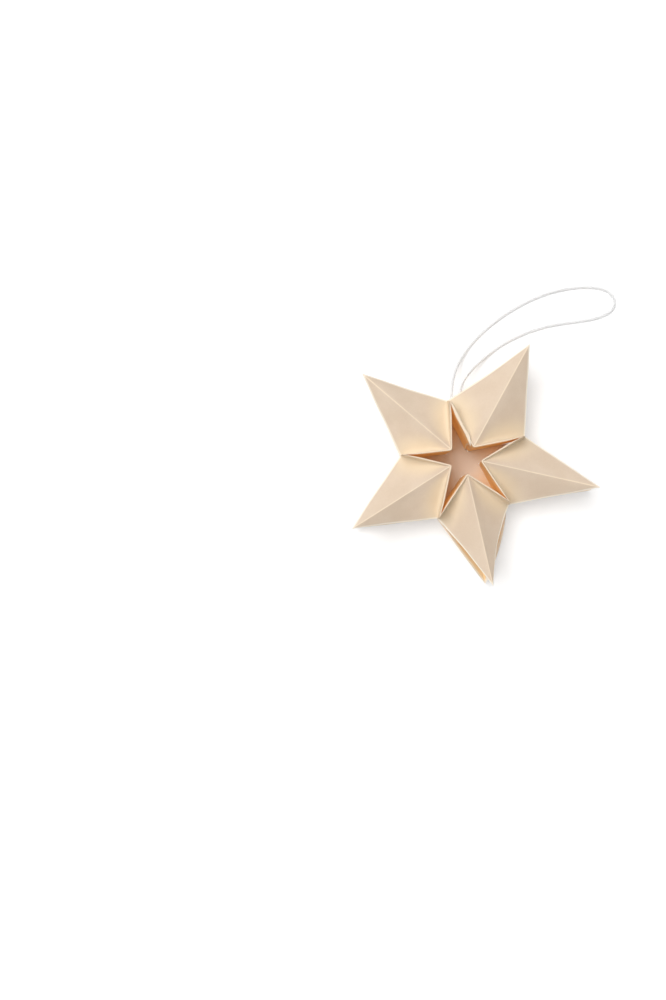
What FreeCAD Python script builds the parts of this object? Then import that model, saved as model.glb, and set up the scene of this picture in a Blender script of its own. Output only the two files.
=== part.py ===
"""A hanging star folded from one strip of card, with its loop of cotton cord.

The strip is creased into a ring of five points and glued to itself at one seam.
Upright walls stand round a star-shaped hole. The card is folded over each rim of
those walls, lies flat against their outer side, and turns up again at the valley
beside the wall to make the two faces of each point. Front and back are mirror
images, and each point is open along its sides, between its front and back layers.

The star lies on its back rims, and the height is along Z. Lengths are in
millimetres and angles in degrees.
"""
import FreeCAD, Part
import math
import os
from FreeCAD import Vector

POINTS = 5
STEP_ANGLE = 360 / POINTS
FIRST_ANGLE = 136.6

# The same size at each point of the star. Points go clockwise from the upper left
# one, and slot 1 lies between points 1 and 2. A lean is an angle away from the
# even place, because the star is folded by hand.
LISTED_SIZES = {
    "tip_reach": (53.0, 52.8, 54.5, 50.8, 52.1),
    "tip_lean": (2.6, -3.8, -3.4, 2.5, 2.4),
    "corner_reach": (7.1, 6.3, 6.7, 5.6, 6.2),
    "corner_lean": (4.1, -7.0, 8.0, -0.8, -10.4),
    "slot_reach": (21.8, 21.8, 21.1, 21.4, 21.5),
    "slot_lean": (3.4, -5.6, 1.0, 0.9, 1.3),
    "valley_spread": (1.3, 2.0, 1.4, 0.3, 0.3),
}

SINGLE_SIZES = {
    "card_thickness": 0.3,
    "rim_height": 31.0,
    "tip_drop": 5.2,
    "valley_drop": 14.0,
    "tab_length": 15.6,
    "lip_height": 1.5,
    "lip_start": 2.2,
    "lip_length": 13.6,
    "cord_diameter": 1.4,
}

# The cord's route, from its end glued inside point 2 out through the open side,
# down to the surface that the star lies on, round its loop and back.
CORD_ROUTE = [
    (-7.1, 20.5, 15.5),
    (-8.7, 24.6, 15.5),
    (-8.7, 30.3, 15.2),
    (-8.1, 34.8, 11.9),
    (-6.6, 39.8, 6.6),
    (-4.2, 44.9, 2.6),
    (-0.8, 49.8, 0.9),
    (4.4, 55.6, 0.75),
    (11.6, 61.6, 0.75),
    (20.4, 67.2, 0.75),
    (30.3, 71.8, 0.75),
    (40.6, 74.4, 0.75),
    (49.4, 74.9, 0.75),
    (55.9, 73.9, 0.75),
    (59.8, 70.2, 0.75),
    (59.3, 65.4, 0.75),
    (54.6, 62.6, 0.75),
    (47.9, 60.9, 0.75),
    (38.8, 59.9, 0.75),
    (29.4, 58.1, 0.75),
    (20.9, 55.0, 0.75),
    (13.8, 51.4, 0.75),
    (8.0, 47.4, 1.2),
    (2.9, 42.9, 3.8),
    (-1.4, 38.3, 8.0),
    (-4.4, 33.8, 12.4),
    (-5.6, 29.2, 15.3),
    (-5.3, 22.6, 15.5),
    (-4.7, 16.6, 15.5),
    (-3.0, 13.1, 15.5),
]
# The share of the shorter run that each rounded corner of the route takes up.
CORNER_SHARE = 0.45


def make_sheet(doc):
    """Put every size in a spreadsheet, under its own name."""
    sheet = doc.addObject("Spreadsheet::Sheet", "sizes")
    sizes = dict(SINGLE_SIZES)
    for name, values in LISTED_SIZES.items():
        for number, value in enumerate(values, start=1):
            sizes[f"{name}_{number}"] = value
    for row, (name, value) in enumerate(sizes.items(), start=1):
        sheet.set(f"A{row}", name)
        sheet.set(f"B{row}", str(value))
        sheet.setAlias(f"B{row}", name)
    doc.recompute()
    return sheet


def plan_places(sheet, name, half_steps):
    """The plan places of one listed size, each turned by its own lean."""
    places = []
    for index in range(POINTS):
        reach = getattr(sheet, f"{name}_reach_{index + 1}")
        lean = getattr(sheet, f"{name}_lean_{index + 1}")
        turn = FIRST_ANGLE - (index + half_steps / 2) * STEP_ANGLE + lean
        angle = math.radians(turn)
        places.append(Vector(reach * math.cos(angle), reach * math.sin(angle), 0))
    return places


def box_middle(places):
    """The middle of the box round some plan places."""
    middle_x = (min(p.x for p in places) + max(p.x for p in places)) / 2
    middle_y = (min(p.y for p in places) + max(p.y for p in places)) / 2
    return Vector(middle_x, middle_y, 0)


def outward(start, end):
    """The unit normal of a side of the clockwise outline, away from the hole."""
    along = (end - start).normalize()
    return Vector(-along.y, along.x, 0)


def offset_outline(outline, distance):
    """Move every side of the outline away from the hole by the same distance."""
    moved = []
    for index, corner in enumerate(outline):
        before = outward(outline[index - 1], corner)
        after = outward(corner, outline[(index + 1) % len(outline)])
        mitre = (before + after) * (distance / (1 + before.dot(after)))
        moved.append(corner + mitre)
    return moved


def raised(place, height):
    """A plan place at a height."""
    return Vector(place.x, place.y, height)


def under_height(facet, place, thickness):
    """The height of a facet's underside at a plan place."""
    tip, corner, valley = facet
    normal = (corner - tip).cross(valley - tip).normalize()
    if normal.z < 0:
        normal = -normal
    reach = place - Vector(tip.x, tip.y, 0)
    return tip.z - (normal.x * reach.x + normal.y * reach.y + thickness) / normal.z


def polygon(points):
    """A flat face with straight sides."""
    return Part.Face(Part.makePolygon(list(points) + [points[0]]))


def mirrored(points, height):
    """The same points on the back of the star, about half its height."""
    return [Vector(p.x, p.y, height - p.z) for p in points]


class StarPlan:
    """The outlines and key points of the star, all worked out from the sheet."""

    def __init__(self, sheet):
        tips = plan_places(sheet, "tip", 0)
        shift = box_middle(tips)
        corners = plan_places(sheet, "corner", 0)
        slots = plan_places(sheet, "slot", 1)
        hole = []
        for corner, slot in zip(corners, slots):
            hole += [corner - shift, slot - shift]
        self.card = sheet.card_thickness
        self.height = sheet.rim_height
        self.hole_side = hole
        self.wall_side = offset_outline(hole, self.card)
        self.fin_side = offset_outline(hole, 2 * self.card)
        self.tips = [raised(tip - shift, self.height - sheet.tip_drop) for tip in tips]
        self.valley_height = self.height - sheet.valley_drop
        self.spreads = []
        for number in range(1, POINTS + 1):
            notch = self.fin_side[2 * number - 1]
            spread = getattr(sheet, f"valley_spread_{number}")
            self.spreads.append((notch + shift).normalize() * spread)

    def facets(self, index):
        """The two top faces of one point: towards the slot before, and after it."""
        tip = self.tips[index]
        corner = raised(self.fin_side[2 * index], self.height)
        facets = []
        for slot in (index - 1, index):
            valley = self.fin_side[2 * slot + 1] + self.spreads[slot]
            facets.append((tip, corner, raised(valley, self.valley_height)))
        return facets


def star_faces(plan):
    """Every face of the folded card, front and back."""
    count = len(plan.hole_side)
    facets = [plan.facets(index) for index in range(POINTS)]
    under_tips = []
    under_corners = []
    under_valleys = []
    for index in range(POINTS):
        tip = plan.tips[index]
        corner = plan.wall_side[2 * index]
        valley = plan.wall_side[2 * index + 1] + plan.spreads[index]
        meeting = (facets[index][1], facets[(index + 1) % POINTS][0])
        for places, place, pair in (
            (under_tips, Vector(tip.x, tip.y, 0), facets[index]),
            (under_corners, corner, facets[index]),
            (under_valleys, valley, meeting),
        ):
            heights = [under_height(facet, place, plan.card) for facet in pair]
            places.append(raised(place, sum(heights) / 2))
    faces = []
    for side in range(count):
        other = (side + 1) % count
        ends = (side, other)
        hole = [plan.hole_side[end] for end in ends]
        fin = [plan.fin_side[end] for end in ends]
        is_after = side % 2 == 0
        point = (side // 2 if is_after else other // 2) % POINTS
        slot = side // 2
        tip, corner, valley = facets[point][1 if is_after else 0]
        under_tip = under_tips[point]
        under_corner = under_corners[point]
        under_valley = under_valleys[slot]
        wall_valley = raised(plan.wall_side[2 * slot + 1], under_valley.z)
        wing_top = raised(plan.fin_side[2 * slot + 1], plan.height)
        front = [
            [raised(p, plan.height) for p in (hole[0], hole[1], fin[1], fin[0])],
            [corner, wing_top, valley],
            [tip, corner, valley],
            [under_tip, under_corner, under_valley],
            [tip, valley, under_valley],
            [tip, under_valley, under_tip],
            [under_corner, wall_valley, under_valley],
        ]
        back = [mirrored(points, plan.height) for points in front]
        inner = [under_corner, wall_valley]
        upright = [
            [hole[0], hole[1], raised(hole[1], plan.height), raised(hole[0], plan.height)],
            inner + mirrored(inner, plan.height)[::-1],
        ]
        faces += [polygon(points) for points in front + back + upright]
    return faces


def closed_solid(faces):
    """Sew faces into one solid that faces outward."""
    shell = Part.makeShell(faces)
    shell.sewShape()
    solid = Part.makeSolid(shell.Shells[0])
    if solid.Volume < 0:
        solid.reverse()
    return solid


def add_shape(doc, name, shape):
    """Hold a shape that the code above worked out."""
    feature = doc.addObject("Part::Feature", name)
    feature.Shape = shape
    return feature


def add_prism(doc, name, corners, size_name):
    """Raise an outline by a length that is bound to the sheet."""
    outline = add_shape(doc, name + "_outline", polygon(corners))
    prism = doc.addObject("Part::Extrusion", name)
    prism.Base = outline
    prism.DirMode = "Custom"
    prism.Dir = Vector(0, 0, 1)
    prism.Solid = True
    prism.setExpression("LengthFwd", f"sizes.{size_name}")
    return prism


def add_seam(doc, sheet, plan):
    """The strip's end: a tab glued on the hole side of point 2's first wall, with
    a trimmed lip folded over each rim of that wall."""
    slot, corner = 1, 2
    card = plan.card
    groove = plan.hole_side[slot]
    along = (plan.hole_side[corner] - groove).normalize()
    to_hole = -outward(groove, plan.hole_side[corner])
    across = (plan.hole_side[slot - 1] - groove).normalize()
    from_hole = outward(plan.hole_side[slot - 1], groove)
    crease = card / across.dot(to_hole)
    tab_end = groove + along * sheet.tab_length
    tab = [
        (groove + plan.wall_side[slot]) / 2,
        groove + across * crease + from_hole * card / 2,
        groove + across * crease,
        tab_end + to_hole * card,
        tab_end - to_hole * card / 2,
    ]
    notch = plan.fin_side[slot]
    lip_ends = [notch + along * s for s in (sheet.lip_start, sheet.lip_start + sheet.lip_length)]
    lip = [
        lip_ends[0] + to_hole * card / 2,
        lip_ends[1] + to_hole * card / 2,
        lip_ends[1] - to_hole * card,
        lip_ends[0] - to_hole * card,
    ]
    front_lip = [raised(p, plan.height - sheet.lip_height) for p in lip]
    return [
        add_prism(doc, "glue_tab", tab, "rim_height"),
        add_prism(doc, "front_lip", front_lip, "lip_height"),
        add_prism(doc, "back_lip", lip, "lip_height"),
    ]


def add_star(doc, sheet):
    """The folded and glued card, as one solid."""
    plan = StarPlan(sheet)
    folded_card = add_shape(doc, "folded_card", closed_solid(star_faces(plan)))
    star = doc.addObject("Part::MultiFuse", "folded_star")
    star.Shapes = [folded_card] + add_seam(doc, sheet, plan)
    star.Refine = True
    star.Label = "folded_star"
    return star


def round_route(points):
    """Straight runs joined by tangent arcs, as one wire, and the arcs' radii."""
    edges = []
    radii = []
    last = points[0]
    for before, corner, after in zip(points, points[1:], points[2:]):
        back = before - corner
        forth = after - corner
        cut = CORNER_SHARE * min(back.Length, forth.Length)
        half_turn = (math.pi - back.getAngle(forth)) / 2
        radius = cut / math.tan(half_turn)
        radii.append(radius)
        back.normalize()
        forth.normalize()
        start = corner + back * cut
        end = corner + forth * cut
        centre = corner + (back + forth).normalize() * (radius / math.cos(half_turn))
        middle = centre + (corner - centre).normalize() * radius
        edges.append(Part.LineSegment(last, start).toShape())
        edges.append(Part.Arc(start, middle, end).toShape())
        last = end
    edges.append(Part.LineSegment(last, points[-1]).toShape())
    return Part.Wire(edges), radii


def add_cord(doc):
    """The cord as a round tube along its route."""
    points = [Vector(*point) for point in CORD_ROUTE]
    wire, radii = round_route(points)
    path = add_shape(doc, "cord_path", wire)
    section = doc.addObject("Part::Circle", "cord_section")
    section.setExpression("Radius", "sizes.cord_diameter / 2")
    heading = FreeCAD.Rotation(Vector(0, 0, 1), points[1] - points[0])
    section.Placement = FreeCAD.Placement(points[0], heading)
    cord = doc.addObject("Part::Sweep", "hanging_loop")
    cord.Sections = [section]
    cord.Spine = (path, [f"Edge{n + 1}" for n in range(len(wire.Edges))])
    cord.Solid = True
    cord.Frenet = False
    cord.Label = "hanging_loop"
    print("cord arc radii:", " ".join(f"{radius:.1f}" for radius in radii))
    return cord, wire.Length


def check(doc, nodes):
    """Stop if an object failed, or a piece isn't one valid solid."""
    for item in doc.Objects:
        if "Invalid" in item.State or "Error" in item.State:
            raise RuntimeError(f"{item.Name} failed: {item.State}")
    for node in nodes:
        shape = node.Shape
        if shape.isNull() or not shape.isValid() or len(shape.Solids) != 1:
            raise RuntimeError(f"{node.Label} isn't one valid solid")


def main():
    doc = FreeCAD.newDocument("paper_star")
    sheet = make_sheet(doc)
    star = add_star(doc, sheet)
    cord, cord_length = add_cord(doc)
    doc.recompute()
    check(doc, [star, cord])
    expected = math.pi * sheet.cord_diameter ** 2 / 4 * cord_length
    print(f"cord length {cord_length:.1f}, volume {cord.Shape.Volume:.1f}, expected {expected:.1f}")
    os.makedirs("parts", exist_ok=True)
    for node in (star, cord):
        box = node.Shape.BoundBox
        corners = (box.XMin, box.YMin, box.ZMin, box.XMax, box.YMax, box.ZMax)
        print(node.Label, f"volume {node.Shape.Volume:.1f}", [round(c, 2) for c in corners])
        node.Shape.exportStep(f"parts/{node.Label}.step")


main()
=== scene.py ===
"""A star folded from one strip of card, with its cotton hanging loop, on a pale floor.

The star is one mesh of the folded card, from the same sizes as its solid: walls round
a star-shaped hole, rims, wings, soft valleys, the faces of each point and their raw
edges, and the glue tab with its trimmed lips. The sizes below are in millimetres
unless a name says otherwise, and the meshes are in metres.
"""
import math
import bmesh
import bpy
from mathutils import Matrix, Vector, noise


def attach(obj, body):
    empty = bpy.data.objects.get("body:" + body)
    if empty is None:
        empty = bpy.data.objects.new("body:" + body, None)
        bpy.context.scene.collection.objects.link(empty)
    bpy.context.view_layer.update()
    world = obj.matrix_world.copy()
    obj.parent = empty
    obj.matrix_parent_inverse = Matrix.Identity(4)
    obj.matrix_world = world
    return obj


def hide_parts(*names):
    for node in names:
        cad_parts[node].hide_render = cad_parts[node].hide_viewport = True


MM = 0.001
POINTS = 5
STEP_ANGLE = 360 / POINTS
FIRST_ANGLE = 136.6

# The plan of the folded card, point by point, as in the part's source.
TIP_REACH = (53.0, 52.8, 54.5, 50.8, 52.1)
TIP_LEAN = (2.6, -3.8, -3.4, 2.5, 2.4)
CORNER_REACH = (7.1, 6.3, 6.7, 5.6, 6.2)
CORNER_LEAN = (4.1, -7.0, 8.0, -0.8, -10.4)
# How much further each front and back tip reaches than the solid's.
TIP_MORE = (0.6, 0.9, 0.7, 0.15, 0.1)
# Behind, the right-hand point's corner lies further out, so its walls lean.
BACK_CORNER_SHIFT = (1.7, 0.2)
LEANING_POINT = 2
# How far each point's corner leans further into the hole than in the solid.
CORNER_LEAN_IN = (0.6, 0.2, 0.6, 0.6, 0.8)
SLOT_REACH = (21.8, 21.8, 21.1, 21.4, 21.5)
SLOT_LEAN = (3.4, -5.6, 1.0, 0.9, 1.3)
VALLEY_SPREAD = (1.3, 2.0, 1.4, 0.3, 0.3)
CARD = 0.3
RIM_HEIGHT = 31.0
TIP_DROP = 5.2
VALLEY_DROP = 14.0
TAB_LENGTH = 15.6
LIP_HEIGHT = 1.5
LIP_START = 2.2
CORD_DIAMETER = 1.4

# The cord's route in metres, as in the part's source.
CORD_ROUTE = [
    (-0.0071, 0.0205, 0.0155),
    (-0.0087, 0.0246, 0.0155),
    (-0.0087, 0.0303, 0.0152),
    (-0.0081, 0.0348, 0.0119),
    (-0.0066, 0.0398, 0.0066),
    (-0.0042, 0.0449, 0.0026),
    (-0.0008, 0.0498, 0.0009),
    (0.0044, 0.0556, 0.00075),
    (0.0116, 0.0616, 0.00075),
    (0.0204, 0.0672, 0.00075),
    (0.0303, 0.0718, 0.00075),
    (0.0406, 0.0744, 0.00075),
    (0.0494, 0.0749, 0.00075),
    (0.0559, 0.0739, 0.00075),
    (0.0598, 0.0702, 0.00075),
    (0.0593, 0.0654, 0.00075),
    (0.0546, 0.0626, 0.00075),
    (0.0479, 0.0609, 0.00075),
    (0.0388, 0.0599, 0.00075),
    (0.0294, 0.0581, 0.00075),
    (0.0209, 0.0550, 0.00075),
    (0.0138, 0.0514, 0.00075),
    (0.0080, 0.0474, 0.0012),
    (0.0029, 0.0429, 0.0038),
    (-0.0014, 0.0383, 0.0080),
    (-0.0044, 0.0338, 0.0124),
    (-0.0056, 0.0292, 0.0153),
    (-0.0053, 0.0226, 0.0155),
    (-0.0047, 0.0166, 0.0155),
    (-0.0030, 0.0131, 0.0155),
]
# The cord's strands, each one's radius as a share of the cord's, the length of one
# turn of their twist, and the spacing and the sides of their rings.
STRANDS = 3
STRAND_SHARE = 0.464
TWIST_PITCH = 0.0046
RING_STEP = 0.0004
RING_SIDES = 10

# Columns of the mesh across each face, from a point's ridge to its raw edge.
COLUMNS = (
    0, 0.006, 0.014, 0.026, 0.045, 0.08, 0.12, 0.18, 0.25, 0.33, 0.41, 0.49, 0.57,
    0.65, 0.72, 0.78, 0.83, 0.87, 0.905, 0.935, 0.958, 0.974, 0.986, 0.994, 1,
)
# Rows along each face, from the valley to the tip.
FACE_ROWS = tuple(0.02 + 0.974 * (n / 22) ** 1.1 for n in range(23))
CORNER_ROUND = 0.9
VALLEY_ROUND = 3.0
FIN_PINCH = 0.5
# A rim's fold is rounder and wider than the fin pressed flat below it.
RIM_ROUND = 0.42
RIM_BULGE = 0.15
# How far the seam's tab and lip stand off the fin at its rim.
SEAM_SLACK = 0.5
# How yellow the card is painted beside the wings: painted light for the light caught in the
# valleys.
PAINTED_VALLEY_LIGHT = 0.5
# The painted glow and painted warm light that stand in for the faint light coming through the
# card, and how strong they are on the walls' inner side and on the undersides of the faces. It
# is 1 at most, in the hole.
GLOW = 0.085
CAVITY_GLOW = 0.3
UNDERSIDE_GLOW = 0.4
# Where a wall starts to narrow beside its slot, and how far its cavity side does.
PINCH_FROM = 0.78
WALL_PINCH = 0.6
# Heights of the rows of vertices on a wall's hole side, and on the seam's tab.
WALL_ROWS = (15.5, 19, 23, 26.5, 29, 30.2)
TAB_ROWS = (15.5, 19, 23, 26.5, 29, 30.3)
# The seam's tab: where it starts near the slot, its columns, how much further its
# loose end stands off, and the fold of its lip outside and inside.
TAB_FROM = 0.972
TAB_COLUMNS = 40
LOOSE_END = 0.9
TAB_RIM = 0.6
TAB_INNER_RIM = 0.31
LIP_LEAST = 0.7
LIP_FLARE = 0.6
# A distance that counts as far from every fold or edge.
FAR = 9.0
# How deep the grain of the card and the lint of the cord are, in metres.
BUMP_DEPTH = 0.00006

# Where the back layer's tips lie off the front ones, in plan.
BACK_TIP_SHIFT = ((0.9, 1.7), (-0.3, -0.4), (-0.5, -0.6), (-1.4, 0.3), (0.4, 0.2))
# How far each raw edge bows towards its ridge, and how far each face bulges up.
# The key is (point, slot beside it, 0 for the front or 1 for the back).
EDGE_BOW = {
    (3, 2, 0): 1.7,
    (3, 2, 1): -1.8,
    (3, 3, 0): 0.5,
    (3, 3, 1): -0.3,
    (1, 0, 0): 0.6,
    (0, 0, 0): 0.2,
    (2, 1, 0): 0.2,
    (4, 4, 0): -0.2,
    (4, 3, 0): 0.2,
}
FACE_BULGE = {
    (0, 4): 0.15, (0, 0): 0.2, (1, 0): 0.35, (1, 1): 0.15, (2, 1): 0.2,
    (2, 2): 0.3, (3, 2): -0.3, (3, 3): 0.25, (4, 3): 0.2, (4, 4): 0.25,
}

# The middle of the hole, in plan.
RING_CENTRE = (-4.4, 1.7)
# The floor inside the hole takes the colour of the light off the card round it.
HOLE_FLOOR = (0.80, 0.70, 0.60, 1)
SLOT_FLOOR = (0.94, 0.69, 0.46, 1)
# For the camera, the shadow on the white floor is softened and the floor is lifted.
FLOOR_SOFTEN = 0.2
FLOOR_WHITE = 0.35
SUN_AZIMUTH = 146
SUN_HEIGHT = 72
SUN_SPREAD = 34
SUN_STRENGTH = 2.35
SKY_STRENGTH = 0.32
# The floor's half width in metres, and how high its patch in the hole lies.
FLOOR_SIZE = 2.5
PATCH_HEIGHT = 0.02

# The photograph's camera: its focal length, the frame's middle and the place
# straight below the lens are in pixels of a frame 1000 high. Its place is in metres.
FOCAL = 1600
FRAME_HEIGHT = 1000
FRAME_MIDDLE = (333, 500)
PLUMB = (345, 530)
CAMERA_PLACE = (-0.05175, -0.02556, 0.661)
SENSOR_HEIGHT = 36


def add_camera():
    """The photograph's camera: a long lens, looking almost straight down."""
    place = Vector(CAMERA_PLACE)
    across = PLUMB[0] - FRAME_MIDDLE[0]
    along = FRAME_MIDDLE[1] - PLUMB[1]
    down = Vector((across, along, -FOCAL)).normalized()
    up = -down
    right = (Vector((1, 0, 0)) - up * up.x).normalized()
    data = bpy.data.cameras.new("camera")
    data.sensor_fit = "VERTICAL"
    data.sensor_height = SENSOR_HEIGHT
    data.lens = SENSOR_HEIGHT * FOCAL / FRAME_HEIGHT
    data.clip_start = 0.01
    camera = bpy.data.objects.new("camera", data)
    turn = Matrix((right, up.cross(right), up)).to_4x4()
    camera.matrix_world = Matrix.Translation(place) @ turn
    bpy.context.collection.objects.link(camera)
    bpy.context.scene.camera = camera


def add_object(name, data, material):
    """A new object in the scene, with its material."""
    data.materials.append(material)
    piece = bpy.data.objects.new(name, data)
    bpy.context.collection.objects.link(piece)
    return piece


def smooth(low, high, value):
    """0 below low, 1 above high, with a soft change between them."""
    x = min(max((value - low) / (high - low), 0), 1)
    return x * x * (3 - 2 * x)


# Cord

def cord_line():
    """Points along the cord's smooth line, read from its spline."""
    data = bpy.data.curves.new("cord_line", "CURVE")
    data.dimensions = "3D"
    data.resolution_u = 16
    spline = data.splines.new("NURBS")
    spline.points.add(len(CORD_ROUTE) - 1)
    for point, place in zip(spline.points, CORD_ROUTE):
        point.co = (*place, 1)
    spline.order_u = 3
    spline.use_endpoint_u = True
    holder = bpy.data.objects.new("cord_line", data)
    bpy.context.collection.objects.link(holder)
    mesh = bpy.data.meshes.new_from_object(holder)
    line = [v.co.copy() for v in mesh.vertices]
    bpy.data.objects.remove(holder)
    bpy.data.meshes.remove(mesh)
    bpy.data.curves.remove(data)
    return line


def even_line(line, step):
    """The same line, with points an even step apart."""
    even = [line[0].copy()]
    left = step
    for start, end in zip(line, line[1:]):
        run = (end - start).length
        done = 0
        while run - done >= left:
            done += left
            even.append(start.lerp(end, done / run))
            left = step
        left -= run - done
    if (even[-1] - line[-1]).length < step / 2:
        even.pop()
    even.append(line[-1].copy())
    return even


def line_frames(line):
    """Two directions across the line at each point, carried along without twist."""
    across = Vector((0, 0, 1))
    frames = []
    for index, place in enumerate(line):
        before = line[max(index - 1, 0)]
        after = line[min(index + 1, len(line) - 1)]
        along = (after - before).normalized()
        across = (across - along * across.dot(along)).normalized()
        frames.append((place, across, along.cross(across)))
    return frames


def add_cord(material):
    """Three strands of cotton twisted round the cord's line."""
    line = cord_line()
    frames = line_frames(even_line(line, RING_STEP))
    radius = CORD_DIAMETER * MM / 2
    strand = radius * STRAND_SHARE
    reach = radius - strand
    shape = bmesh.new()
    for number in range(STRANDS):
        rings = []
        for index, (place, u, v) in enumerate(frames):
            wander = 0.5 * noise.noise(Vector((index * RING_STEP * 120, 3.7, 0)))
            turn = math.tau * (index * RING_STEP / TWIST_PITCH + number / STRANDS) + wander
            out = u * math.cos(turn) + v * math.sin(turn)
            side = -u * math.sin(turn) + v * math.cos(turn)
            swell = 1 + 0.05 * noise.noise(Vector((index * RING_STEP * 700, number * 5.1, 2)))
            ring = []
            for corner in range(RING_SIDES):
                angle = math.tau * corner / RING_SIDES
                offset = out * (reach + strand * math.cos(angle))
                offset += side * (strand * 1.06 * math.sin(angle))
                ring.append(shape.verts.new(place + offset * swell * 0.97))
            rings.append(ring)
        for ring, after in zip(rings, rings[1:]):
            for corner in range(RING_SIDES):
                other = (corner + 1) % RING_SIDES
                shape.faces.new((ring[corner], ring[other], after[other], after[corner]))
        shape.faces.new(rings[0][::-1])
        shape.faces.new(rings[-1])
    bmesh.ops.recalc_face_normals(shape, faces=shape.faces)
    mesh = bpy.data.meshes.new("cotton_loop")
    shape.to_mesh(mesh)
    shape.free()
    mesh.shade_smooth()
    cord = add_object("cotton_loop", mesh, material)
    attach(cord, "root")
    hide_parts("hanging_loop")


# Star

def plan_places(reaches, leans, half_steps):
    """Plan places round the star, each turned by its own lean."""
    places = []
    for index in range(POINTS):
        turn = FIRST_ANGLE - (index + half_steps / 2) * STEP_ANGLE + leans[index]
        angle = math.radians(turn)
        places.append(Vector((math.cos(angle), math.sin(angle), 0)) * reaches[index])
    return places


def outward(start, end):
    """The unit normal of a side of the clockwise outline, away from the hole."""
    along = (end - start).normalized()
    return Vector((-along.y, along.x, 0))


def offset_outline(outline, distance):
    """Every side of the outline moved away from the hole by the same distance."""
    moved = []
    for index, corner in enumerate(outline):
        before = outward(outline[index - 1], corner)
        after = outward(corner, outline[(index + 1) % len(outline)])
        moved.append(corner + (before + after) * (distance / (1 + before.dot(after))))
    return moved


def at_height(place, height):
    return Vector((place.x, place.y, height))


class Plan:
    """The outlines and the tips of the star, in front or behind."""

    def __init__(self, is_back):
        tips = plan_places(TIP_REACH, TIP_LEAN, 0)
        low = Vector((min(p.x for p in tips), min(p.y for p in tips), 0))
        high = Vector((max(p.x for p in tips), max(p.y for p in tips), 0))
        shift = (low + high) / 2
        reaches = [far - near for far, near in zip(CORNER_REACH, CORNER_LEAN_IN)]
        corners = plan_places(reaches, CORNER_LEAN, 0)
        slots = plan_places(SLOT_REACH, SLOT_LEAN, 1)
        if is_back:
            corners[LEANING_POINT] += Vector((*BACK_CORNER_SHIFT, 0))
        self.hole = []
        for corner, slot in zip(corners, slots):
            self.hole += [corner - shift, slot - shift]
        self.wall = offset_outline(self.hole, CARD)
        self.fin = offset_outline(self.hole, 2 * CARD)
        self.tips = [
            tip + tip.normalized() * more - shift for tip, more in zip(tips, TIP_MORE)
        ]
        self.spreads = []
        for number in range(POINTS):
            notch = self.fin[2 * number + 1] + shift
            self.spreads.append(notch.normalized() * VALLEY_SPREAD[number])


PLAN = Plan(False)
BACK_PLAN = Plan(True)

def side_point(outline, point, slot, other_slot, s):
    """A plan place on the side from a point's corner to a slot, with a round corner."""
    corner = outline[2 * point]
    end = outline[2 * slot + 1]
    other = outline[2 * other_slot + 1]
    length = (end - corner).length
    reach = CORNER_ROUND / length
    if s >= reach:
        return corner.lerp(end, s)
    w = 0.5 * (1 - s / reach)
    near = corner.lerp(end, reach)
    far = corner + (other - corner).normalized() * CORNER_ROUND
    return near * (1 - w) ** 2 + corner * (2 * w * (1 - w)) + far * w ** 2


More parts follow.
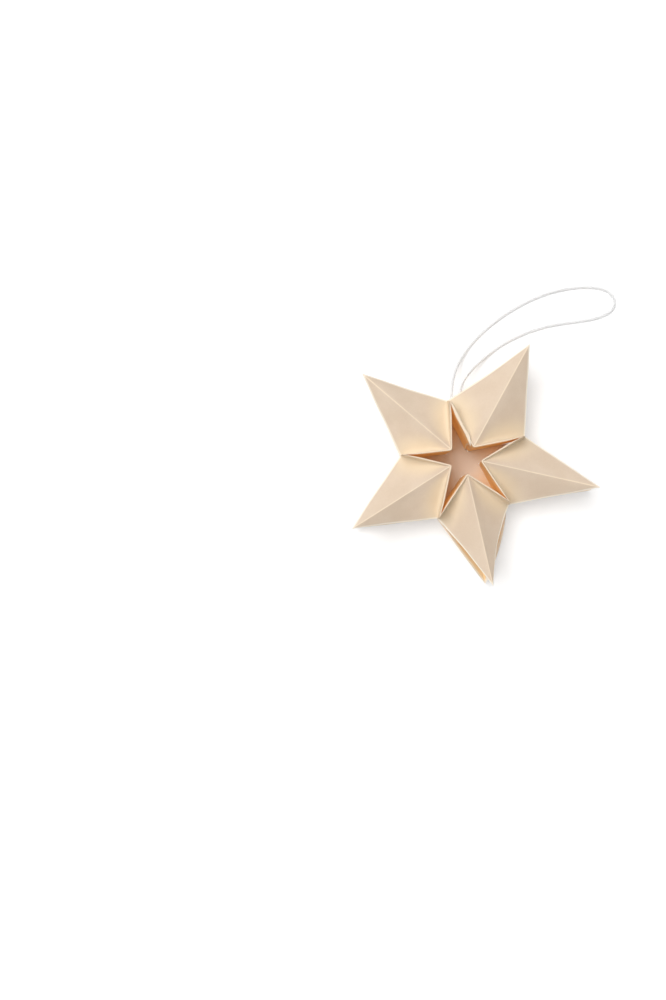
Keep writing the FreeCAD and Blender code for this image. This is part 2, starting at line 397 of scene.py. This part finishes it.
class Half:
    """One face of a point, in front or behind, with its wing and its half wall."""

    def __init__(self, point, slot, is_back):
        self.key = (point, slot, int(is_back))
        self.point = point
        self.slot = slot
        self.other_slot = (point - 1) % POINTS if slot == point else point
        self.is_back = is_back
        self.layout = BACK_PLAN if is_back else PLAN
        tip = self.layout.tips[point].copy()
        if is_back:
            tip += Vector((*BACK_TIP_SHIFT[point], 0))
        self.tip = at_height(tip, RIM_HEIGHT - TIP_DROP)
        self.spread = self.layout.spreads[slot]
        self.corner = at_height(self.layout.fin[2 * point], RIM_HEIGHT - CARD)
        self.valley = at_height(
            self.layout.fin[2 * slot + 1] + self.spread, RIM_HEIGHT - VALLEY_DROP
        )
        normal = (self.corner - self.tip).cross(self.valley - self.tip).normalized()
        self.normal = normal if normal.z > 0 else -normal

    def plan(self, outline, s):
        return side_point(outline, self.point, self.slot, self.other_slot, s)

    def hole(self, s):
        """The hole side of the wall. The fin narrows beside the slot."""
        hole = self.plan(self.layout.hole, s)
        return hole.lerp(self.fin(s), FIN_PINCH * smooth(PINCH_FROM, 1, s))

    def wall(self, s):
        wall = self.plan(self.layout.wall, s)
        return wall.lerp(self.fin(s), WALL_PINCH * smooth(PINCH_FROM, 1, s))

    def fin(self, s):
        return self.plan(self.layout.fin, s)

    def wall_lean(self, s, z):
        """How far the wall lies off its rim's line at a height, where it leans."""
        here = self.plan(self.layout.hole, s)
        there = self.plan((PLAN if self.is_back else BACK_PLAN).hole, s)
        return (there - here) * ((RIM_HEIGHT - z) / RIM_HEIGHT)

    def rim_top(self, s):
        """The rim's height. Under the seam's lips it is lower by one card."""
        if (self.point, self.slot) != (1, 0):
            return RIM_HEIGHT
        return RIM_HEIGHT - CARD * smooth(0.02, 0.12, s) * (1 - smooth(0.9, 0.98, s))

    def crease(self, s):
        """A place on the valley crease, where the wing turns out into the face."""
        place = self.fin(s) + self.spread * s
        drop = VALLEY_DROP - CARD
        return at_height(place, RIM_HEIGHT - CARD - drop * s)

    def under_height(self, place):
        """The height of the face's underside at a plan place."""
        reach = place - at_height(self.tip, 0)
        fall = self.normal.x * reach.x + self.normal.y * reach.y + CARD
        return self.tip.z - fall / self.normal.z

    def bend(self, s, t):
        """How far the face leaves its plane: edge bow, bulge and slight waves."""
        hump = 4 * t * (1 - t)
        to_ridge = at_height(self.corner - self.valley, 0).normalized()
        moved = to_ridge * (EDGE_BOW.get(self.key, 0) * hump * s ** 3)
        bulge = FACE_BULGE[(self.point, self.slot)]
        across = 4 * s * (1 - s)
        moved = moved + self.normal * (bulge * hump * across)
        place = self.crease(s).lerp(self.tip, t)
        seed = 11.3 * self.point + 5.7 * self.slot + 31 * self.key[2]
        wave = noise.noise(Vector((place.x * 0.09, place.y * 0.09, seed)))
        moved += self.normal * (0.35 * wave * hump * smooth(0, 0.25, s))
        return moved

    def face_point(self, s, t):
        """A place on the face's upper side."""
        place = self.crease(s).lerp(self.tip, t) + self.bend(s, t)
        ridge = self.ridge_distance(s, t)
        if ridge < 0.4:
            place.z -= 0.3 * (0.4 - ridge) ** 2 / 0.4
        return place

    def under_point(self, s, t, ends):
        """A place on the face's underside. The ends are shared with neighbours."""
        start = self.wall(s) + self.spread * s
        height = self.under_height(start)
        height += (ends[0] - self.under_height(self.wall(0))) * (1 - s) ** 4
        low = self.wall(1) + self.spread
        height += (ends[1] - self.under_height(low)) * s ** 4
        start = at_height(start, height)
        tip = at_height(self.tip, ends[2])
        return start.lerp(tip, t) + self.bend(s, t)

    def ridge_distance(self, s, t):
        """The distance from the ridge, along the width of the face."""
        return s * (1 - t) * (self.valley - self.corner).length

    def edge_distance(self, s, t):
        """The distance from the raw edge."""
        return (1 - s) * (1 - t) * (self.valley - self.corner).length


class CardMesh:
    """Vertices and faces of the folded card, with their distances from folds."""

    def __init__(self):
        self.shape = bmesh.new()
        self.fold = self.shape.verts.layers.float.new("fold_mm")
        self.edge = self.shape.verts.layers.float.new("edge_mm")
        self.painted_valley_light = self.shape.verts.layers.float.new("valley_painted_light")
        self.inside = self.shape.verts.layers.float.new("inside")

    def vert(self, place, is_back=False, fold=FAR, edge=FAR, painted_valley_light=0.0, inside=0.0):
        z = RIM_HEIGHT - place.z if is_back else place.z
        vert = self.shape.verts.new(Vector((place.x, place.y, z)) * MM)
        vert[self.fold] = fold
        vert[self.edge] = edge
        vert[self.painted_valley_light] = painted_valley_light
        vert[self.inside] = inside
        return vert

    def grid(self, columns):
        """Faces between neighbouring columns of vertices."""
        for column, after in zip(columns, columns[1:]):
            for row in range(len(column) - 1):
                self.face(column[row], column[row + 1], after[row + 1], after[row])

    def face(self, *corners):
        self.shape.faces.new(corners)


def hole_light(depth, s):
    """How much painted glow and painted warm light a hole wall gets, by its depth and its place
    from corner to slot.
    """
    along = 0.55 + 0.45 * smooth(0.1, 0.75, s)
    return along * smooth(0.4, 2.5, depth) * (1 - 0.55 * smooth(5, 15, depth))


def outer_column(mesh, half, s):
    """One column of the outer skin: wall, rim, wing, valley and face."""
    hole = half.hole(s)
    fin = half.fin(s)
    top = half.rim_top(s)
    column = []
    for z in WALL_ROWS:
        column.append(
            mesh.vert(
                at_height(hole + half.wall_lean(s, z), z),
                half.is_back,
                fold=top - z,
                inside=hole_light(top - z, s),
            )
        )
    middle = (hole + fin) / 2
    bulge = RIM_BULGE * smooth(0, 0.1, s) * (1 - smooth(0.9, 1, s))
    to_hole = (hole - fin) / 2 * (1 + bulge)
    for step in range(1, 10):
        angle = math.pi * step / 10
        place = middle + to_hole * math.cos(angle)
        height = top - RIM_ROUND + RIM_ROUND * math.sin(angle)
        fold = 0.45 * abs(math.cos(angle))
        column.append(mesh.vert(at_height(place, height), half.is_back, fold=fold))
    crease = half.crease(s)
    wing_top = top - CARD
    fall = wing_top - crease.z
    ease = min(VALLEY_ROUND, 0.7 * fall) * (1 - s ** 8)
    for step in range(6):
        f = step / 5 * (1 - ease / fall) if fall > 1e-6 else 0
        place = fin + half.spread * (s * f)
        z = wing_top - fall * f
        # Painted valley light, growing down the wing towards the valley.
        painted_valley_light = PAINTED_VALLEY_LIGHT * smooth(0, 1.2, fall * f)
        column.append(
            mesh.vert(at_height(place, z), half.is_back, fold=0.45 + fall * f, painted_valley_light=painted_valley_light)
        )
    start = column[-1].co / MM
    if half.is_back:
        start.z = RIM_HEIGHT - start.z
    run = (half.tip - crease).length
    first = ease / run
    finish = half.face_point(s, first)
    for step in range(1, 7):
        w = step / 6
        place = start * (1 - w) ** 2 + crease * (2 * w * (1 - w)) + finish * w ** 2
        column.append(
            mesh.vert(
                place,
                half.is_back,
                fold=half.ridge_distance(s, first * w),
                edge=half.edge_distance(s, 0),
                painted_valley_light=PAINTED_VALLEY_LIGHT * smooth(0.3, 3, fall),
            )
        )
    for row in FACE_ROWS:
        t = first + (FACE_ROWS[-1] - first) * row / FACE_ROWS[-1]
        column.append(
            mesh.vert(
                half.face_point(s, t),
                half.is_back,
                fold=half.ridge_distance(s, t),
                edge=half.edge_distance(s, t),
                painted_valley_light=PAINTED_VALLEY_LIGHT * (1 - smooth(first, first + 0.22, t)) * smooth(0.3, 3, fall),
            )
        )
    return column


def inner_column(mesh, half, s, ends):
    """One column of the inner skin: the wall's cavity side and the underside."""
    wall = half.wall(s)
    root = half.under_point(s, 0, ends)
    column = []
    for step in range(7):
        z = RIM_HEIGHT / 2 + (root.z - RIM_HEIGHT / 2) * step / 6
        lean = half.wall_lean(s, z) * (1 - step / 6)
        column.append(mesh.vert(at_height(wall + lean, z), half.is_back, inside=CAVITY_GLOW))
    edge = half.edge_distance(s, 0)
    column.append(mesh.vert(root, half.is_back, edge=edge, inside=CAVITY_GLOW))
    for t in FACE_ROWS:
        place = half.under_point(s, t, ends)
        edge = half.edge_distance(s, t)
        column.append(mesh.vert(place, half.is_back, edge=edge, inside=UNDERSIDE_GLOW))
    return column


def shared_ends(half):
    """Heights of the underside where it meets its neighbours: corner, valley, tip."""
    twin = Half(half.point, half.other_slot, half.is_back)
    neighbour_point = (half.slot + 1) % POINTS if half.slot == half.point else half.slot
    neighbour = Half(neighbour_point, half.slot, half.is_back)
    corner = half.wall(0)
    valley = half.wall(1) + half.spread
    tip = at_height(half.tip, 0)
    return (
        (half.under_height(corner) + twin.under_height(corner)) / 2,
        (half.under_height(valley) + neighbour.under_height(valley)) / 2,
        (half.under_height(tip) + twin.under_height(tip)) / 2,
    )


def add_half(mesh, half):
    """Both skins of one face, its raw edge and the blunt end at its tip."""
    ends = shared_ends(half)
    outer = [outer_column(mesh, half, s) for s in COLUMNS]
    inner = [inner_column(mesh, half, s, ends) for s in COLUMNS]
    mesh.grid(outer)
    mesh.grid([column[::-1] for column in inner])
    rows = len(FACE_ROWS)
    top_edge = outer[-1][-rows - 1:]
    low_edge = inner[-1][-rows - 1:]
    mesh.grid([top_edge, low_edge])
    mesh.grid([[column[-1] for column in inner], [column[-1] for column in outer]])


def add_tab(mesh):
    """The strip's end, glued on the hole side of a wall, with its lips over the rims."""
    half = Half(1, 0, False)
    length = (PLAN.hole[1] - PLAN.hole[2]).length
    last = 1 - TAB_LENGTH / length
    lip_from = 1 - LIP_START / length
    normal = (half.hole(0.5) - half.fin(0.5)).normalized()
    columns = []
    for number in range(TAB_COLUMNS + 1):
        s = TAB_FROM + (last - TAB_FROM) * number / TAB_COLUMNS
        trim = 1 - smooth(lip_from - 0.03, lip_from + 0.05, s)
        depth = LIP_LEAST + (LIP_HEIGHT - LIP_LEAST) * trim
        hole = half.hole(s)
        width = (hole - half.fin(s)).length
        slack = SEAM_SLACK * (1 - smooth(0.8, 0.97, s))
        slack += LOOSE_END * (1 - smooth(last, last + 0.3, s))
        face = CARD + slack
        back = -width - CARD - slack
        outer = []
        inner = []
        for z in TAB_ROWS:
            open_by = slack * smooth(20, 30, z)
            outer.append((CARD + open_by, z))
            inner.append((-0.03 + open_by, z))
        centre = (face + back) / 2
        reach = (face - back) / 2
        for step in range(1, 10):
            angle = math.pi * step / 10
            x = math.copysign(abs(math.cos(angle)) ** 0.6, math.cos(angle))
            z = math.sin(angle) ** 0.45
            outer.append((centre + reach * x, RIM_HEIGHT - TAB_RIM + TAB_RIM * z))
            inner.append((centre + (reach - CARD) * x, RIM_HEIGHT - TAB_RIM + TAB_INNER_RIM * z))
        for step in range(1, 5):
            z = RIM_HEIGHT - TAB_RIM - (depth - TAB_RIM) * step / 4
            flare = LIP_FLARE * (step / 4) ** 1.5
            outer.append((back - flare, z))
            inner.append((back + CARD - flare, z))
        ring = []
        for points in (outer, inner[::-1]):
            for index, (q, z) in enumerate(points):
                raw = index == len(points) - 1 if points is outer else index == 0
                near_end = (s - last) * length
                sunk = RIM_HEIGHT - z if q > centre else 0.0
                ring.append((hole + normal * q, z, 0.0 if raw else near_end, sunk))
        columns.append(ring)
    for is_back in (False, True):
        rings = []
        for ring in columns:
            rings.append([
                mesh.vert(
                    at_height(p, z),
                    is_back,
                    fold=sunk * 0.45,
                    edge=edge,
                    inside=hole_light(sunk - 0.4, 0.7),
                )
                for p, z, edge, sunk in ring
            ])
        size = len(rings[0])
        for ring, after in zip(rings, rings[1:]):
            for index in range(size - 1):
                mesh.face(ring[index], ring[index + 1], after[index + 1], after[index])
        half_size = size // 2
        for ring, flip in ((rings[0], False), (rings[-1], True)):
            for index in range(half_size - 1):
                far = size - 1 - index
                corners = (ring[index], ring[index + 1], ring[far - 1], ring[far])
                mesh.face(*(corners[::-1] if flip else corners))


def add_star(material):
    """The folded card as one mesh."""
    mesh = CardMesh()
    for point in range(POINTS):
        for slot in ((point - 1) % POINTS, point):
            for is_back in (False, True):
                add_half(mesh, Half(point, slot, is_back))
    bmesh.ops.remove_doubles(mesh.shape, verts=mesh.shape.verts, dist=2e-6)
    bmesh.ops.dissolve_degenerate(mesh.shape, edges=mesh.shape.edges, dist=1e-6)
    add_tab(mesh)
    bmesh.ops.remove_doubles(mesh.shape, verts=mesh.shape.verts, dist=2e-6)
    bmesh.ops.recalc_face_normals(mesh.shape, faces=mesh.shape.faces)
    data = bpy.data.meshes.new("paper_star")
    mesh.shape.to_mesh(data)
    mesh.shape.free()
    data.shade_smooth()
    data.set_sharp_from_angle(angle=math.radians(42))
    star = add_object("paper_star", data, material)
    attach(star, "root")
    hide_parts("folded_star")


# Materials

def srgb(red, green, blue):
    """A colour given as 0 to 255, for a shader's socket."""
    values = []
    for value in (red, green, blue):
        value /= 255
        values.append(value / 12.92 if value <= 0.04045 else ((value + 0.055) / 1.055) ** 2.4)
    return (*values, 1)


class Nodes:
    """Short ways to add and join shader nodes."""

    def __init__(self, name):
        self.material = bpy.data.materials.new(name)
        self.material.use_nodes = True
        self.tree = self.material.node_tree
        self.tree.nodes.clear()

    def add(self, kind, inputs=None, **settings):
        node = self.tree.nodes.new(kind)
        for name, value in settings.items():
            setattr(node, name, value)
        self.feed(node, (inputs or {}).items())
        return node

    def feed(self, node, sockets):
        """Link or set each socket, by its name or its number."""
        for key, value in sockets:
            if isinstance(value, bpy.types.NodeSocket):
                self.tree.links.new(value, node.inputs[key])
            else:
                node.inputs[key].default_value = value

    def attribute(self, name):
        """One of the mesh's own values."""
        return self.add("ShaderNodeAttribute", attribute_name=name).outputs["Fac"]

    def place(self):
        """The place on the object."""
        return self.add("ShaderNodeTexCoord").outputs["Object"]

    def bump(self, height, strength):
        """A fine grain on the surface."""
        return self.add(
            "ShaderNodeBump", {"Height": height, "Strength": strength, "Distance": BUMP_DEPTH}
        ).outputs["Normal"]

    def noise(self, coords, scale, detail=3.0, rough=0.55):
        return self.add(
            "ShaderNodeTexNoise",
            {"Vector": coords, "Scale": scale, "Detail": detail, "Roughness": rough},
        ).outputs["Fac"]

    def remap(self, value, low, high, to_low=0.0, to_high=1.0, soft=True):
        return self.add(
            "ShaderNodeMapRange",
            {
                "Value": value,
                "From Min": low,
                "From Max": high,
                "To Min": to_low,
                "To Max": to_high,
            },
            interpolation_type="SMOOTHSTEP" if soft else "LINEAR",
        ).outputs["Result"]

    def mix(self, factor, first, second):
        node = self.add("ShaderNodeMix", data_type="RGBA")
        self.feed(node, ((0, factor), (6, first), (7, second)))
        return node.outputs[2]

    def math(self, operation, first, second):
        node = self.add("ShaderNodeMath", operation=operation)
        self.feed(node, ((0, first), (1, second)))
        return node.outputs[0]

    def output(self, shader):
        self.add("ShaderNodeOutputMaterial", {"Surface": shader})
        return self.material


def card_material():
    """Cream card: faint mottling and fibres; paler folds and cut edges, partly worn fibres and
    partly painted highlight; painted warm light in the valleys and the hole; and a painted glow.
    """
    n = Nodes("card")
    place = n.place()
    fold = n.attribute("fold_mm")
    edge = n.attribute("edge_mm")
    mottle = n.remap(n.noise(place, 90, 4), 0.35, 0.65)
    colour = n.mix(mottle, srgb(225, 204, 181), srgb(230, 210, 188))
    fibre = n.remap(n.noise(place, 1500, 4, 0.7), 0.35, 0.7)
    colour = n.mix(n.math("MULTIPLY", fibre, 0.10), colour, srgb(203, 176, 145))
    painted_valley_light = n.attribute("valley_painted_light")
    inside = n.attribute("inside")
    # Painted light: the card is painted yellower beside the wings, for the light caught in the
    # valleys.
    colour = n.mix(painted_valley_light, colour, srgb(246, 228, 195))
    # Painted warm light: the hole walls, cavity sides and undersides are painted orange for the
    # light bounced in the hole.
    colour = n.mix(n.remap(inside, 0.0, 0.5), colour, srgb(254, 222, 170))
    # Paler folds: worn, whitened fibres, and a painted highlight where the rounded fold catches
    # the light.
    near_fold = n.remap(fold, 0.12, 0.52, 1.0, 0.0)
    fold_wear_and_highlight = n.math("MULTIPLY", near_fold, n.remap(n.noise(place, 420, 2), 0.2, 0.8, 0.7, 1.0))
    colour = n.mix(fold_wear_and_highlight, colour, srgb(248, 228, 202))
    # Paler raw edges: the cut's paler fibres, and a painted highlight along the edge.
    near_edge = n.remap(edge, 0.4, 1.0, 1.0, 0.0)
    colour = n.mix(near_edge, colour, srgb(252, 242, 226))
    grain = n.noise(place, 2600, 3, 0.6)
    felt = n.noise(place, 700, 2, 0.5)
    height = n.math("ADD", grain, n.math("MULTIPLY", felt, 0.8))
    bump = n.bump(height, 0.35)
    shader = n.add(
        "ShaderNodeBsdfPrincipled",
        {
            "Base Color": colour,
            "Roughness": 0.78,
            "Specular IOR Level": 0.25,
            # A painted glow: orange emission on the hole walls, the cavity sides and the
            # undersides.
            "Emission Color": (1.0, 0.5, 0.17, 1),
            "Emission Strength": n.math("MULTIPLY", inside, GLOW),
            "Normal": bump,
        },
    )
    return n.output(shader.outputs["BSDF"])


def cord_material():
    """White twisted cotton with a soft sheen."""
    n = Nodes("cord")
    place = n.place()
    tone = n.remap(n.noise(place, 900, 3), 0.3, 0.7)
    colour = n.mix(tone, srgb(249, 249, 248), srgb(255, 255, 255))
    lint = n.noise(place, 5200, 3, 0.7)
    bump = n.bump(lint, 0.5)
    shader = n.add(
        "ShaderNodeBsdfPrincipled",
        {
            "Base Color": colour,
            "Roughness": 0.9,
            "Specular IOR Level": 0.2,
            "Sheen Weight": 0.25,
            "Sheen Roughness": 0.5,
            "Subsurface Weight": 0.6,
            "Subsurface Radius": (1.0, 1.0, 1.0),
            "Subsurface Scale": 0.0005,
            "Normal": bump,
        },
    )
    return n.output(shader.outputs["BSDF"])


def floor_material():
    """A white floor that the camera sees near white, with the shadow kept."""
    n = Nodes("floor")
    rays = n.add("ShaderNodeLightPath").outputs
    seen = rays["Is Camera Ray"]
    tone = n.mix(n.math("MULTIPLY", seen, FLOOR_SOFTEN), (0.96, 0.96, 0.96, 1), (0, 0, 0, 1))
    matt = n.add("ShaderNodeBsdfDiffuse", {"Color": tone}).outputs["BSDF"]
    lift = n.math("MULTIPLY", seen, FLOOR_WHITE)
    white = n.add("ShaderNodeEmission", {"Color": (1, 1, 1, 1), "Strength": lift})
    both = n.add("ShaderNodeAddShader", {0: matt, 1: white.outputs["Emission"]})
    return n.output(both.outputs["Shader"])


def hole_floor_material():
    """The floor inside the hole, warm from the light off the card round it."""
    n = Nodes("hole_floor")
    place = n.place()
    reach = n.add(
        "ShaderNodeVectorMath",
        {0: place, 1: (RING_CENTRE[0] * MM, RING_CENTRE[1] * MM, 0)},
        operation="DISTANCE",
    ).outputs["Value"]
    tone = n.mix(n.remap(reach, 0.004, 0.017), HOLE_FLOOR, SLOT_FLOOR)
    return n.output(n.add("ShaderNodeBsdfDiffuse", {"Color": tone}).outputs["BSDF"])


# Floor and light

def add_floor():
    """A wide plain floor under the star."""
    size = FLOOR_SIZE
    mesh = bpy.data.meshes.new("floor")
    corners = [(-size, -size, 0), (size, -size, 0), (size, size, 0), (-size, size, 0)]
    mesh.from_pydata(corners, [], [(0, 1, 2, 3)])
    add_object("floor", mesh, floor_material())
    # A patch over the floor in the hole, painted with the warm light off the card round it.
    inside = bpy.data.meshes.new("hole_floor")
    corners = [at_height(place, PATCH_HEIGHT) * MM for place in BACK_PLAN.hole]
    inside.from_pydata(corners, [], [range(len(corners))])
    add_object("hole_floor", inside, hole_floor_material())


def add_light():
    """A soft key from the upper left and an even sky."""
    data = bpy.data.lights.new("key", "SUN")
    data.energy = SUN_STRENGTH
    data.angle = math.radians(SUN_SPREAD)
    key = bpy.data.objects.new("key", data)
    azimuth = math.radians(SUN_AZIMUTH)
    height = math.radians(SUN_HEIGHT)
    towards = Vector((
        math.cos(azimuth) * math.cos(height),
        math.sin(azimuth) * math.cos(height),
        math.sin(height),
    ))
    key.rotation_euler = towards.to_track_quat("Z", "Y").to_euler()
    bpy.context.collection.objects.link(key)
    world = bpy.data.worlds.new("sky")
    world.use_nodes = True
    bpy.context.scene.world = world
    tree = world.node_tree
    tree.nodes.clear()
    rays = tree.nodes.new("ShaderNodeLightPath").outputs
    seen = tree.nodes.new("ShaderNodeMath")
    seen.operation = "MAXIMUM"
    tree.links.new(rays["Is Camera Ray"], seen.inputs[0])
    clear = tree.nodes.new("ShaderNodeMath")
    clear.operation = "MAXIMUM"
    tree.links.new(rays["Is Glossy Ray"], clear.inputs[0])
    tree.links.new(rays["Is Transmission Ray"], clear.inputs[1])
    tree.links.new(clear.outputs[0], seen.inputs[1])
    strength = tree.nodes.new("ShaderNodeMapRange")
    strength.inputs["To Min"].default_value = SKY_STRENGTH
    strength.inputs["To Max"].default_value = 1.0
    tree.links.new(seen.outputs[0], strength.inputs["Value"])
    sky = tree.nodes.new("ShaderNodeBackground")
    sky.inputs["Color"].default_value = (1, 1, 1, 1)
    tree.links.new(strength.outputs["Result"], sky.inputs["Strength"])
    output = tree.nodes.new("ShaderNodeOutputWorld")
    tree.links.new(sky.outputs["Background"], output.inputs["Surface"])


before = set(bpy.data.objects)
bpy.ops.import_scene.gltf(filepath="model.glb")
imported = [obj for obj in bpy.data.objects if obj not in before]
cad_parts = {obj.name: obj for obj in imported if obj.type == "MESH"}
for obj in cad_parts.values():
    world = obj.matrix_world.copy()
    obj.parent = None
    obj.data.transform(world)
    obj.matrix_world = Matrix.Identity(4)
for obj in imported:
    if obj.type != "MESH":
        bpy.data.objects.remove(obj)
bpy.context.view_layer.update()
bpy.context.scene.view_settings.view_transform = "Standard"
add_camera()
add_cord(cord_material())
add_star(card_material())
add_floor()
add_light()
